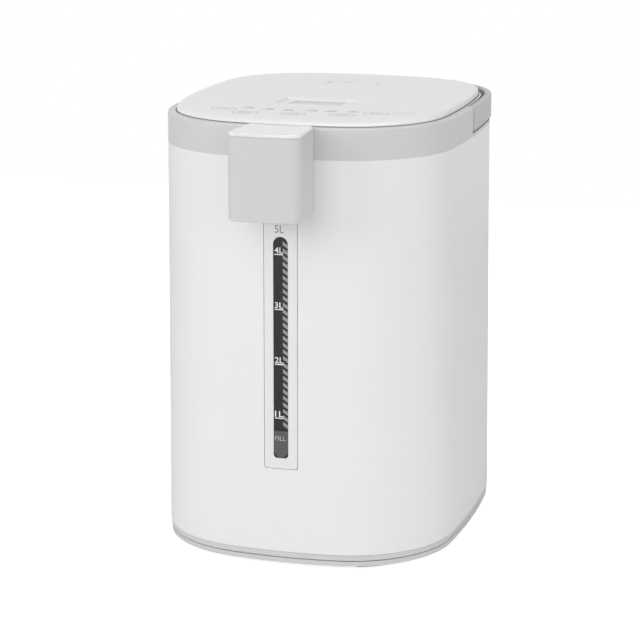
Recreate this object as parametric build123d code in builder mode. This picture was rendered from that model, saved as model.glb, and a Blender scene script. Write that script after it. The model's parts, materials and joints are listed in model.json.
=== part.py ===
from build123d import *
from math import sqrt
import os

os.makedirs("parts", exist_ok=True)
foot = (Align.CENTER, Align.CENTER, Align.MIN)

# ---- driving dimensions, millimetres; the body's plan is a bowed square with round corners ----
half_width = 109.2        # body plan at the collar seam: centre to the side's apex
half_depth = 132.7        # centre to the front's and the rear's apex
corner_r = 76.9           # plan corners
front_bow = 21.4          # how far front and rear bulge
side_bow = 11.5           # how far the sides bulge
draft = 2.6               # casing is this much wider all round at its foot

pad_h = 1.2               # rubber pads under the feet
foot_h = 3.8              # corner feet above the pads
band_h = 3.6              # visible wall of the base tray
trim_gap = 0.8            # dark groove between tray and trim ring
trim_h = 3.8              # trim ring
casing_h = 289.4          # outer casing
collar_h = 22.4           # collar round the top
crown_h = 4.6             # rise of the lid above the collar
wall = 2.0                # casing wall
seam = 0.4                # gap between two shells that meet in the open

rim_w = 6.3               # collar's top face, from the outside to the lid
rim_edge = 1.2            # round of its outer edge
lid_gap = 0.6             # gap round the lid and the control cover
lid_rear = 110.0          # lid's rear edge from the body's centre
lid_side_r = 480.0        # lid's sides behind the middle
lid_rear_r = 270.0        # lid's rear edge
lid_corner_r = 62.0       # lid's rear corners
lid_front = -72.4         # seam between the control cover and the lid
shell = 2.2               # walls of lid, control cover and spout cover
deck_h = 2.7              # collar's floor

spout_out = 42.0          # spout's reach in front of the body
spout_half = 27.0         # half its width at the front
spout_root = 24.0         # half its width at the body
spout_bottom = 265.0      # its lower edge at the front
spout_rise = 2.1          # how much higher the lower edge is at the body
spout_corner = 7.0        # its plan corners
spout_bow = 1.6           # bulge of its front face
cap_drop = 1.1            # seam under the spout's cap, below the collar's rim
cap_h = 2.7               # cap
nozzle_in = 16.5          # nozzle behind the spout's front face
nozzle_r = 6.0            # nozzle outside
nozzle_bore = 4.0         # nozzle inside

tank_y = 14.0             # tank's axis behind the body's centre
tank_bore = 89.2          # tank inside radius
tank_floor = 74.0         # inside bottom of the tank
sheet = 0.8               # tank's steel
mouth_r = 79.0            # tank's mouth
plug_in = 6.0             # lid's plug inside the mouth
plug_deep = 9.7           # and below the collar's floor
neck_deep = 23.0          # tank's neck starts this far below the collar
neck_h = 14.0             # neck
flange_out = 6.5          # tank's flange beyond the mouth

strip_half = 12.5         # gauge strip, half width
strip_bottom = 76.3
slot_half = 5.4           # gauge window, half width
slot_bottom = 84.4
slot_top = 247.1
riser_in = 14.2           # gauge tube, which is also the riser, behind the front's apex
riser_r = 6.0
riser_bore = 4.5

handle_proud = 1.1        # carry handle outside the collar
handle_t = 5.1            # its thickness
handle_h = 19.6           # its height
arm_front = -4.0          # front ends of its arms
arm_corner = 3.6          # their round front corners, seen from the side
pivot_in = 5.0            # pivot behind the arm's front end
pivot_down = 4.0          # pivot below the handle's top
pin_r = 1.6

hinge_y = 106.0           # lid hinge
hinge_drop = 12.0         # below the lid's top
hinge_r = 2.0
pump_y = -58.0            # pump's axis, in front of the tank's
fit = 0.05                # running clearance of a pin or shaft

# ---- levels and radii worked out from them ----
tray_z = pad_h + foot_h
trim_z = tray_z + band_h + trim_gap
casing_z = trim_z + trim_h + seam
collar_z = casing_z + casing_h
rim_z = collar_z + collar_h
top_z = rim_z + crown_h
deck_z = collar_z + deck_h
handle_top = rim_z
handle_z = handle_top - handle_h
ledge_z = handle_z - 0.5
front_reach = half_depth + spout_out
rear_reach = half_depth + draft
body_y = (front_reach - rear_reach) / 2
hinge_z = top_z - hinge_drop
pivot_y = arm_front + pivot_in
pivot_z = handle_top - pivot_down
spout_front = -front_reach
nozzle_y = spout_front + nozzle_in
riser_y = -half_depth + riser_in
plug_r = mouth_r - plug_in
plug_z = deck_z - plug_deep
neck_z = collar_z - neck_deep
shoulder_z = neck_z + neck_h
cap_z = rim_z - cap_drop


def bow_radius(half_span, bow):
    """Radius of an arc that bulges by bow over twice half_span."""
    return (half_span**2 + bow**2) / (2 * bow)


end_r = bow_radius(half_width, front_bow)
side_r = bow_radius(half_depth, side_bow)
body = (half_width, half_depth, side_r, end_r, corner_r)
lid_fore = tuple(size - rim_w for size in body)
lid_aft = (half_width - rim_w, lid_rear, lid_side_r, lid_rear_r, lid_corner_r)


def deck(z):
    """Level plane centred on the body."""
    return Plane((0, body_y, z))


def flank(x):
    """Upright plane across X; its own axes run rearwards and up."""
    return Plane((x, body_y, 0), x_dir=(0, 1, 0), z_dir=(1, 0, 0))


def facing(y):
    """Upright plane that faces forwards; its own axes run right and up."""
    return Plane((0, body_y + y, 0), x_dir=(1, 0, 0), z_dir=(0, -1, 0))


def spot(x, y, z=0.0):
    """A place given from the body's centre line."""
    return (x, body_y + y, z)


def across(x, y, z):
    """Upright plane across X with its origin at a spot."""
    return Plane(spot(x, y, z), x_dir=(0, 1, 0), z_dir=(1, 0, 0))


def ahead(x, y, z):
    """Upright plane that faces forwards, with its origin at a spot."""
    return Plane(spot(x, y, z), x_dir=(1, 0, 0), z_dir=(0, -1, 0))


def tank_plane(z):
    return Plane(spot(0, tank_y, z))


def quarter(side_x, end_y, side_rad, end_rad, corner, grow):
    """Points round one quarter of a bowed plan, from the side's apex to the end's apex."""
    side_c = Vector(side_x - side_rad, 0)
    end_c = Vector(0, end_y - end_rad)
    link = end_c - side_c
    a = side_rad - corner
    b = end_rad - corner
    along = (a**2 - b**2 + link.length**2) / (2 * link.length)
    unit = link.normalized()
    centre = side_c + unit * along + Vector(-unit.Y, unit.X) * sqrt(a**2 - along**2)
    to_side = (centre - side_c).normalized()
    to_end = (centre - end_c).normalized()
    return [
        Vector(side_x + grow, 0),
        side_c + (to_side + Vector(1, 0)).normalized() * (side_rad + grow),
        side_c + to_side * (side_rad + grow),
        centre + (to_side + to_end).normalized() * (corner + grow),
        end_c + to_end * (end_rad + grow),
        Vector(0, end_y + grow),
    ]


def plan(z, grow=0.0, fore=body, aft=body):
    """A bowed plan at a height, grown or shrunk evenly; fore and aft halves may differ."""
    fore_points = quarter(*fore, grow)
    aft_points = quarter(*aft, grow)

    def put(point, right, back):
        return (right * point.X, back * point.Y)

    with BuildSketch(deck(z)) as face:
        with BuildLine():
            for points, back in ((fore_points, -1), (aft_points, 1)):
                ends = [put(points[4], -1, back), put(points[5], 1, back), put(points[4], 1, back)]
                ThreePointArc(*ends)
                for right in (1, -1):
                    corner = [put(points[i], right, back) for i in (2, 3, 4)]
                    ThreePointArc(*corner)
                    if fore != aft:
                        ThreePointArc(*[put(points[i], right, back) for i in (0, 1, 2)])
            if fore == aft:
                for right in (1, -1):
                    side = [put(fore_points[i], right, back) for i, back in ((2, -1), (0, 1), (2, 1))]
                    ThreePointArc(*side)
        make_face()
    return face.sketch


def lid_plan(z, side_in=0.0, front_in=None):
    """Plan of the lid and control cover together, drawn in from its edge."""
    front_in = side_in if front_in is None else front_in
    fore = (lid_fore[0] - side_in, lid_fore[1] - front_in, lid_fore[2] - side_in,
            lid_fore[3] - front_in, lid_fore[4] - side_in)
    aft = tuple(size - side_in for size in lid_aft)
    return plan(z, 0.0, fore, aft)


def casing_grow(z):
    """How far the drafted casing stands outside the collar's plan at a height."""
    return draft * (collar_z - z) / casing_h


def casing_skin(inset, low, high):
    """The casing's outer form between two heights, drawn in by inset."""
    ends = [plan(z, casing_grow(z) - inset) for z in (low, high)]
    return loft(sections=ends, ruled=True)


def ring(plane, outer, inner):
    with BuildSketch(plane) as face:
        Circle(outer)
        if inner > 0:
            Circle(inner, mode=Mode.SUBTRACT)
    return face.sketch


def front_slot(half, low, high, low_r, high_r):
    """Upright slot outline on the front, with its own corner radii below and above."""
    with BuildSketch(facing(0)) as face:
        with Locations((0, (low + high) / 2)):
            Rectangle(2 * half, high - low)
        fillet(face.vertices().group_by(Axis.Y)[0], low_r)
        fillet(face.vertices().group_by(Axis.Y)[-1], high_r)
    return face.sketch


def spout_plan(z, inset=0.0, back=-110.0):
    """Plan of the spout: sides that near each other towards the body, bowed front, round corners."""
    half = spout_half - inset
    tip = spout_front + inset
    root = half - (spout_half - spout_root) * (back - spout_front) / spout_out
    edge = tip + spout_bow
    with BuildSketch(deck(z)) as face:
        with BuildLine():
            Polyline((-half, edge), (-root, back), (root, back), (half, edge))
            ThreePointArc((half, edge), (0, tip), (-half, edge))
        make_face()
        fillet(face.vertices().group_by(Axis.Y)[0], spout_corner - inset)
    return face.sketch


def slab(x0, x1, y0, y1, z0, z1, mode=Mode.ADD):
    """Block between two corners given from the body's centre."""
    with Locations(spot((x0 + x1) / 2, (y0 + y1) / 2, (z0 + z1) / 2)):
        Box(x1 - x0, y1 - y0, z1 - z0, mode=mode)


def rod(plane, radius, length, mode=Mode.ADD):
    """Round bar that starts on a plane."""
    with BuildSketch(plane) as face:
        Circle(radius)
    extrude(to_extrude=face.sketch, amount=length, mode=mode)


def bent_tube(points, radius, outer, inner):
    """Tube along straight runs with one bend radius."""
    with BuildPart() as tube:
        with BuildLine() as path:
            FilletPolyline(*points, radius=radius)
        with BuildSketch(Plane(origin=path.wire() @ 0, z_dir=path.wire() % 0)) as section:
            Circle(outer)
            Circle(inner, mode=Mode.SUBTRACT)
        sweep(sections=section.sketch, path=path.wire())
    return tube.part


def save(piece, name):
    piece.part.label = name
    export_step(piece.part, f"parts/{name}.step")


# ---- feet and base ----
foot_in = 12.0            # feet behind the casing's foot
foot_w = 11.0             # width of the arcs
foot_end_x = 50.0         # inner ends of the arcs from the middle
foot_end_y = 66.0


def foot_arcs(z, height, margin):
    """Four arcs that follow the corners of the plan."""
    extrude(to_extrude=plan(z, draft - foot_in - margin), amount=height)
    extrude(to_extrude=plan(z, draft - foot_in - foot_w + margin), amount=height, mode=Mode.SUBTRACT)
    open_x = foot_end_x + margin
    open_y = foot_end_y + margin
    slab(-open_x, open_x, -half_depth - 20, half_depth + 20, z, z + height, Mode.SUBTRACT)
    slab(-half_width - 20, half_width + 20, -open_y, open_y, z, z + height, Mode.SUBTRACT)


with BuildPart() as foot_pads:
    foot_arcs(0, pad_h, 1.5)
save(foot_pads, "foot_pads")

with BuildPart() as corner_feet:
    foot_arcs(pad_h, foot_h, 0.0)
save(corner_feet, "corner_feet")

tray_floor = 2.4
tray_in = 3.4             # tray's upstand inside the casing's face
tray_top = casing_z + 14
rod_r = 1.8
rod_place = 69.5          # tie rods, in X and in Y from the tank's axis
boss_r = 5.0
board_z = tray_z + 16
board_x = 52.0
board_y = (44.0, 98.0)
inlet_half = 21.0
inlet_z = (28.0, 54.0)
motor_r = 18.0
motor_z = tray_z + tray_floor + 6
screw_grid = (104.0, 150.0)
screw_r = 1.5
screw_head = 3.0

with BuildPart() as base_tray:
    extrude(to_extrude=plan(tray_z, draft - 0.8), amount=band_h)
    extrude(to_extrude=plan(tray_z + band_h, draft - tray_in), amount=tray_top - tray_z - band_h)
    extrude(to_extrude=plan(tray_z + tray_floor, draft - tray_in - wall), amount=tray_top, mode=Mode.SUBTRACT)
    with Locations(tank_plane(tray_z + tray_floor)):
        with GridLocations(2 * rod_place, 2 * rod_place, 2, 2):
            Cylinder(boss_r, 8, align=foot)
            Cylinder(rod_r + fit, 8, align=foot, mode=Mode.SUBTRACT)
    with Locations(spot(0, sum(board_y) / 2, tray_z + tray_floor)):
        with GridLocations(2 * board_x - 12, board_y[1] - board_y[0] - 10, 2, 2):
            Cylinder(3.2, board_z - tray_z - tray_floor, align=foot)
            Cylinder(1.2, board_z, align=foot, mode=Mode.SUBTRACT)
    cup = ring(Plane(spot(0, pump_y, tray_z + tray_floor)), motor_r + 2, motor_r + 0.2)
    extrude(to_extrude=cup, amount=14)
    with Locations(deck(tray_z)):
        with GridLocations(*screw_grid, 2, 2):
            Cylinder(screw_r + 2.4, tray_floor + 5, align=foot)
            Cylinder(screw_r, tray_floor + 5.2, align=foot, mode=Mode.SUBTRACT)
save(base_tray, "base_tray")

with BuildPart() as trim_ring:
    extrude(to_extrude=plan(trim_z, draft - 0.5), amount=trim_h)
    extrude(to_extrude=plan(trim_z, draft - tray_in + 0.15), amount=trim_h, mode=Mode.SUBTRACT)
save(trim_ring, "trim_ring")

vent_pitch = 14.0
with BuildPart() as service_plate:
    extrude(to_extrude=plan(tray_z - 1.4, draft - foot_in - foot_w - 4), amount=1.4)
    with Locations(deck(tray_z - 0.7)):
        with GridLocations(vent_pitch, 2 * vent_pitch, 7, 4):
            Box(9, 3, 4, mode=Mode.SUBTRACT)
        with GridLocations(*screw_grid, 2, 2):
            Cylinder(screw_r + 0.1, 4, mode=Mode.SUBTRACT)
save(service_plate, "service_plate")

# ---- outer casing and the gauge in its front ----
pipe_z = collar_z - 13
pipe_half = nozzle_r + 1.2
pipe_deep = 20.0          # how far in the casing is open for the pipe
skirt_z = collar_z - 6
strip_top = spout_bottom + 4
slot_r = 2.6              # lower corners of the window
strip_r = 2.0             # lower corners of the strip
window_in = 0.4           # window's face behind the strip's


def front_patch(outline, inset_out, inset_in):
    """Piece of the casing's front between two depths, inside an outline."""
    high = collar_z
    with BuildPart() as patch:
        add(casing_skin(inset_out, casing_z, high))
        add(casing_skin(inset_in, casing_z, high), mode=Mode.SUBTRACT)
        extrude(to_extrude=outline, amount=front_reach, mode=Mode.INTERSECT)
    return patch.part


def pipe_room():
    """Clears the way for the spout pipe through the front of a shell."""
    low = pipe_z - pipe_half
    slab(-pipe_half, pipe_half, -front_reach, -half_depth + pipe_deep, low, collar_z, Mode.SUBTRACT)


with BuildPart() as outer_casing:
    add(casing_skin(0, casing_z, collar_z))
    add(casing_skin(wall, casing_z, collar_z), mode=Mode.SUBTRACT)
    strip_cut = front_slot(strip_half + seam / 2, strip_bottom - seam / 2, strip_top, strip_r, strip_r / 2)
    extrude(to_extrude=strip_cut, amount=front_reach, mode=Mode.SUBTRACT)
    pipe_room()
    slab(-inlet_half, inlet_half, half_depth - 20, rear_reach + 5, *inlet_z, Mode.SUBTRACT)
save(outer_casing, "outer_casing")

with BuildPart() as gauge_strip:
    strip_low = strip_bottom + seam / 2
    strip = front_slot(strip_half - seam / 2, strip_low, strip_top - seam, strip_r, strip_r / 2)
    add(front_patch(strip, 0.0, wall))
    window_cut = front_slot(slot_half + 0.1, slot_bottom - 0.1, slot_top + 0.1, slot_r, slot_half)
    extrude(to_extrude=window_cut, amount=front_reach, mode=Mode.SUBTRACT)
save(gauge_strip, "gauge_strip")

with BuildPart() as gauge_window:
    pane = front_slot(slot_half, slot_bottom, slot_top, slot_r, slot_half - 0.05)
    add(front_patch(pane, window_in, wall))
    edge = front_slot(slot_half + 2.4, slot_bottom - 2.4, slot_top + 2.4, slot_r, slot_half + 2)
    add(front_patch(edge, wall + 0.05, wall + 1.2))
    join = front_slot(slot_half - 0.5, slot_bottom + 2, slot_top - 4, 1, 1)
    add(front_patch(join, wall - 0.2, wall + 0.4))
save(gauge_window, "gauge_window")

carrier_half = riser_r + 3.2
carrier_wall = 1.4
carrier_front = -half_depth + wall + 1.6
riser_low = 66.0
valve_z = strip_bottom + 186.0      # bottom of the stop valve
with BuildPart() as gauge_carrier:
    low, high = slot_bottom - 5, slot_top + 6
    slab(-carrier_half, carrier_half, carrier_front, riser_y + riser_r + 1 + carrier_wall, low, high)
    room = riser_r + 0.6
    slab(-room, room, carrier_front - 1, riser_y + riser_r + 1, low - 1, high + 1, Mode.SUBTRACT)
save(gauge_carrier, "gauge_carrier")

with BuildPart() as gauge_tube:
    riser_foot = Plane(spot(0, riser_y, riser_low))
    extrude(to_extrude=ring(riser_foot, riser_r, riser_bore), amount=valve_z + 5 - riser_low)
save(gauge_tube, "gauge_tube")

# ---- water path: pump, hoses, stop valve, spout pipe ----
pump_r = 22.0
pump_z = motor_z + 36
pump_h = 13.0
gap = 0.3                 # air between a spinning piece and its housing
elbow_r = riser_r + 2.2
outlet_z = pump_z + 4.8
outlet_r = 4.0
inlet_r = 5.0
nipple_low = tank_floor - sheet - 6

with BuildPart() as pump_motor:
    rod(Plane(spot(0, pump_y, motor_z)), motor_r, 27)
    fillet(pump_motor.edges().group_by(Axis.Z)[0], 2)
    rod(Plane(spot(0, pump_y, motor_z - 3.6)), 6, 4)
    rod(Plane(spot(0, pump_y, motor_z - 1)), 1.5 + fit, 29, Mode.SUBTRACT)
save(pump_motor, "pump_motor")

with BuildPart() as drive_rotor:
    rod(Plane(spot(0, pump_y, motor_z)), 1.5, 30)
    rod(Plane(spot(0, pump_y, motor_z + 28)), 13, 6)
    for side in (-1, 1):
        rod(Plane(spot(side * 7, pump_y, motor_z + 31)), 4.0, 4, Mode.SUBTRACT)
save(drive_rotor, "drive_rotor")

with BuildPart() as drive_magnets:
    for side in (-1, 1):
        rod(Plane(spot(side * 7, pump_y, motor_z + 31)), 3.95, 2.8)
save(drive_magnets, "drive_magnets")

with BuildPart() as pump_body:
    rod(Plane(spot(0, pump_y, pump_z - 0.8)), pump_r, pump_h - 3.2)
    rod(Plane(spot(0, pump_y, pump_z + 1.2)), pump_r - 4, pump_h, Mode.SUBTRACT)
    rod(Plane(spot(0, pump_y, pump_z + 1.0)), 1.2, 7)
    rod(ahead(0, pump_y - pump_r + 3, outlet_z), outlet_r, 16)
    rod(ahead(0, pump_y - pump_r + 6, outlet_z), outlet_r - 1.4, 24, Mode.SUBTRACT)
    for side in (-1, 1):
        ear = side * (pump_r + 2)
        slab(ear - 4, ear + 4, pump_y - 4, pump_y + 4, pump_z - 0.8, pump_z + 2)
save(pump_body, "pump_body")

with BuildPart() as pump_cover:
    cover_z = pump_z + pump_h - 4
    rod(Plane(spot(0, pump_y, cover_z)), pump_r, 2.4)
    rod(Plane(spot(0, pump_y, cover_z)), inlet_r, nipple_low - 0.3 - cover_z)
    rod(Plane(spot(0, pump_y, cover_z - 1)), inlet_r - 1.4, 14, Mode.SUBTRACT)
save(pump_cover, "pump_cover")

with BuildPart() as impeller:
    rod(Plane(spot(0, pump_y, pump_z + 1.2 + gap)), 14, 2.6)
    with Locations(Plane(spot(0, pump_y, pump_z + 4))):
        with PolarLocations(9, 6):
            Box(9, 1.2, 2.6, align=foot)
    rod(Plane(spot(0, pump_y, pump_z + 1.2 + gap)), 3, 5.4)
    rod(Plane(spot(0, pump_y, pump_z)), 1.2 + fit, 9, Mode.SUBTRACT)
save(impeller, "impeller")

with BuildPart() as suction_hose:
    hose_low = pump_z + pump_h + 0.2
    hose_high = tank_floor - sheet - 0.3
    hose_foot = Plane(spot(0, pump_y, hose_low))
    extrude(to_extrude=ring(hose_foot, inlet_r + 2.4, inlet_r), amount=hose_high - hose_low)
save(suction_hose, "suction_hose")

with BuildPart() as delivery_hose:
    hose_y = pump_y - pump_r - 2
    start = ahead(0, hose_y, outlet_z)
    extrude(to_extrude=ring(start, riser_r, outlet_r), amount=hose_y - riser_y - 13)
save(delivery_hose, "delivery_hose")

with BuildPart() as gauge_elbow:
    bend = (spot(0, riser_y + 18, outlet_z), spot(0, riser_y, outlet_z), spot(0, riser_y, riser_low + 12))
    add(bent_tube(bend, 10, elbow_r, riser_r))
save(gauge_elbow, "gauge_elbow")

valve_r = 10.0
valve_top = collar_z - 1.5
ball_r = 5.0
with BuildPart() as stop_valve:
    valve = Plane(spot(0, riser_y, valve_z))
    rod(valve, valve_r, valve_top - valve_z)
    rod(valve.offset(8), ball_r + 1.4, valve_top - valve_z - 10, Mode.SUBTRACT)
    rod(valve.offset(-1), riser_r, 6.2, Mode.SUBTRACT)
    rod(valve.offset(1), riser_bore - 1, 9, Mode.SUBTRACT)
    rod(ahead(0, riser_y - 4, pipe_z), nozzle_bore, 20, Mode.SUBTRACT)
save(stop_valve, "stop_valve")

with BuildPart() as stop_ball:
    with Locations(spot(0, riser_y, valve_z + 8 + sqrt(ball_r**2 - (riser_bore - 1)**2) + 0.1)):
        Sphere(ball_r)
save(stop_ball, "stop_ball")

pipe_back = riser_y - valve_r - 0.2
with BuildPart() as spout_pipe:
    route = (spot(0, pipe_back, pipe_z), spot(0, nozzle_y, pipe_z), spot(0, nozzle_y, spout_bottom + 16))
    add(bent_tube(route, 7, nozzle_r, nozzle_bore))
save(spout_pipe, "spout_pipe")

with BuildPart() as spout_nozzle:
    tip = Plane(spot(0, nozzle_y, spout_bottom + 1.5))
    extrude(to_extrude=ring(tip, nozzle_r, nozzle_bore), amount=14)
    extrude(to_extrude=ring(tip.offset(9.5), nozzle_r + 2.4, nozzle_r + 0.05), amount=9)
    extrude(to_extrude=ring(tip.offset(9.5), nozzle_r + 2.4, nozzle_bore), amount=1.5)
save(spout_nozzle, "spout_nozzle")

# ---- spout cover and cap ----
spout_floor = spout_bottom + 5.0
cap_round = 1.8           # round of the cap's top edge
cap_lip = 3.0             # lip that reaches into the cover
with BuildPart() as body_form:
    add(casing_skin(-seam / 2, casing_z, collar_z))
    extrude(to_extrude=plan(collar_z, seam / 2), amount=collar_h + crown_h)

with BuildPart() as spout_cover:
    extrude(to_extrude=spout_plan(spout_bottom), amount=cap_z - spout_bottom)
    with BuildSketch(flank(-spout_half - 1)) as under:
        with BuildLine():
            far = spout_front + 2 * spout_out
            Polyline((spout_front, spout_bottom), (far, spout_bottom + 2 * spout_rise), (far, spout_bottom),
                     close=True)
        make_face()
    extrude(to_extrude=under.sketch, amount=2 * spout_half + 2, mode=Mode.SUBTRACT)
    fillet(spout_cover.faces().sort_by(Axis.Z)[0].edges(), 0.8)
    extrude(to_extrude=spout_plan(spout_floor, shell), amount=cap_z, mode=Mode.SUBTRACT)
    recess = spout_floor - shell - spout_bottom
    extrude(to_extrude=spout_plan(spout_bottom - 1, shell), amount=recess + 1, mode=Mode.SUBTRACT)
    rod(Plane(spot(0, nozzle_y, spout_bottom)), nozzle_r + 2.6, 12, Mode.SUBTRACT)
    add(body_form.part, mode=Mode.SUBTRACT)
save(spout_cover, "spout_cover")

with BuildPart() as spout_cap:
    extrude(to_extrude=spout_plan(cap_z + seam / 2), amount=cap_h - seam / 2)
    fillet(spout_cap.edges().group_by(Axis.Z)[-1], cap_round)
    extrude(to_extrude=spout_plan(cap_z - cap_lip, shell + 0.2), amount=cap_lip + seam)
    lip_room = spout_plan(cap_z - cap_lip - 1, shell + 1.8)
    extrude(to_extrude=lip_room, amount=cap_lip + 1 + seam, mode=Mode.SUBTRACT)
    add(body_form.part, mode=Mode.SUBTRACT)
save(spout_cap, "spout_cap")

# ---- collar round the top, with the hinge lugs and the channel for the carry handle ----
rim_wall = 1.3            # collar's inner wall beside the handle
rim_cut_y = 67.0          # behind this the inner wall is low, under the open lid
rim_low = hinge_z - 9.0
lug_x = 38.0
lug_w = 8.0
lug_r = 5.5
latch_z = hinge_z - 3.0
pin_in = half_width - rim_w + lid_gap + 0.05
pin_out = half_width + handle_proud - 2.0
beyond = half_depth + 20  # past the body on every side
handle_under = 2.2        # chamfer under the handle, outside
handle_edge = 1.2         # round of its top edges

with BuildPart() as channel:
    extrude(to_extrude=plan(ledge_z, 8), amount=40)
    extrude(to_extrude=lid_plan(ledge_z, -(lid_gap + rim_wall)), amount=40, mode=Mode.SUBTRACT)
    slab(-beyond, beyond, -beyond, arm_front - seam, ledge_z, ledge_z + 40, Mode.SUBTRACT)

with BuildPart() as collar:
    extrude(to_extrude=plan(collar_z), amount=collar_h)
    fillet(collar.edges().group_by(Axis.Z)[-1], rim_edge)
    extrude(to_extrude=plan(skirt_z, -wall - 0.3), amount=collar_z - skirt_z)
    extrude(to_extrude=plan(skirt_z, -wall - 2.3), amount=collar_z - skirt_z, mode=Mode.SUBTRACT)
    extrude(to_extrude=lid_plan(deck_z, -lid_gap), amount=collar_h, mode=Mode.SUBTRACT)
    add(channel.part, mode=Mode.SUBTRACT)
    slab(-half_width, half_width, rim_cut_y, half_depth, rim_low, top_z, Mode.SUBTRACT)
    rod(tank_plane(collar_z - 1), mouth_r + sheet + 1.2, deck_h + 2, Mode.SUBTRACT)
    pipe_room()
    for side in (-1, 1):
        lug = side * lug_x - lug_w / 2
        slab(lug, lug + lug_w, hinge_y - lug_r, hinge_y + lug_r, deck_z - 1, hinge_z)
        rod(across(lug, hinge_y, hinge_z), lug_r, lug_w)
        rod(across(lug - 1, hinge_y, hinge_z), hinge_r, lug_w + 2, Mode.SUBTRACT)
        rod(across(side * (half_width - rim_w), pivot_y, pivot_z), pin_r, side * 3, Mode.SUBTRACT)
save(collar, "collar")

with BuildPart() as carry_handle:
    extrude(to_extrude=plan(handle_z, handle_proud), amount=handle_h)
    chamfer(carry_handle.edges().group_by(Axis.Z)[0], handle_under)
    extrude(to_extrude=plan(handle_z, handle_proud - handle_t), amount=handle_h, mode=Mode.SUBTRACT)
    with BuildSketch(flank(-beyond)) as arm:
        with BuildLine():
            Polyline((arm_front, handle_z), (beyond, handle_z), (beyond, handle_top), (arm_front, handle_top),
                     close=True)
        make_face()
        fillet(arm.vertices().group_by(Axis.X)[0], arm_corner)
    extrude(to_extrude=arm.sketch, amount=2 * beyond, mode=Mode.INTERSECT)
    long_edges = carry_handle.edges().filter_by(lambda edge: edge.length > 40)
    fillet(long_edges.group_by(Axis.Z)[-1], handle_edge)
    for side in (-1, 1):
        bore = pin_out + 0.4 - pin_in
        rod(across(side * pin_in, pivot_y, pivot_z), pin_r + fit, side * bore, Mode.SUBTRACT)
save(carry_handle, "carry_handle")

with BuildPart() as handle_pins:
    for side in (-1, 1):
        rod(across(side * pin_in, pivot_y, pivot_z), pin_r, side * (pin_out - pin_in))
save(handle_pins, "handle_pins")

# ---- crown: control cover in front, lid behind ----
cover_z = deck_z + 0.2
lid_z = hinge_z - 5.0     # underside of the lid's rim
step = (0.0, 0.15, 0.5, 1.3)          # how the crown rounds over at the sides and the rear
front_step = (0.0, 3.5, 10.0, 21.0)   # and at the front
rise = (0.0, 0.56, 0.86, 1.0)
crown_low = rim_z - 0.4


def crown_form(low):
    """Solid under the rounded top, down to a level."""
    with BuildPart() as form:
        extrude(to_extrude=lid_plan(low), amount=crown_low - low)
        height = top_z - crown_low
        loft(sections=[lid_plan(crown_low + height * up, side_in, front_in)
                       for up, side_in, front_in in zip(rise, step, front_step)])
    return form.part


def crown_hollow(low):
    with BuildPart() as form:
        extrude(to_extrude=lid_plan(low, shell), amount=crown_low - 1 - low)
        roof = lid_plan(top_z - shell, step[3] + shell, front_step[3])
        loft(sections=[lid_plan(crown_low - 1, shell), roof])
    return form.part


cover_boss = (-60.0, 0.0, 60.0)       # control board's bosses
boss_y = -94.0
boss_top = top_z - shell
with BuildPart() as cover_room:
    add(crown_hollow(cover_z - 1))
    slab(-half_width, half_width, lid_front - seam - shell, half_depth, cover_z - 2, top_z + 1, Mode.SUBTRACT)

with BuildPart() as control_cover:
    add(crown_form(cover_z))
    slab(-half_width, half_width, lid_front - seam, half_depth, cover_z - 1, top_z + 1, Mode.SUBTRACT)
    add(cover_room.part, mode=Mode.SUBTRACT)
    slab(-11, 11, lid_front - 8, lid_front, latch_z - 1.2, latch_z + 4.6, Mode.SUBTRACT)
    for x in cover_boss:
        rod(Plane(spot(x, boss_y, cover_z)), 3.4, boss_top - cover_z)
        rod(Plane(spot(x, boss_y, cover_z)), 1.2, 12, Mode.SUBTRACT)
save(control_cover, "control_cover")

bay_x = lug_x - lug_w / 2
vent = (-21.0, 21.0, 40.0, 62.0)      # opening for the steam cap
duct = (-17.0, 17.0, 41.5, 59.5)
dish_front = -57.8        # recess round the lever
dish_rear = -24.6
dish_half = 29.0          # its half width
dish_low = (0.6, 2.0)     # how deep its floor lies in front and at the rear
pit_half = 19.8           # deep part under the lever
pit_floor = top_z - 7.0
pit_rear = -26.6
lever_y = -55.6
lever_z = top_z - 3.4
lever_bore = 0.8          # lever's pin
with BuildPart() as lid_room:
    add(crown_hollow(lid_z - 1))
    slab(-half_width, half_width, -half_depth, lid_front + shell, lid_z - 2, top_z + 1, Mode.SUBTRACT)
    slab(-pit_half - 2, pit_half + 2, dish_front - 2, dish_rear, pit_floor - 2, top_z, Mode.SUBTRACT)


def lug_room(low, high):
    """Clears the lid round the collar's hinge lugs between two heights."""
    for side in (-1, 1):
        lug = side * lug_x - lug_w / 2
        slab(lug - 0.5, lug + lug_w + 0.5, hinge_y - lug_r - 0.8, hinge_y + 12, low, high, Mode.SUBTRACT)


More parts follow.
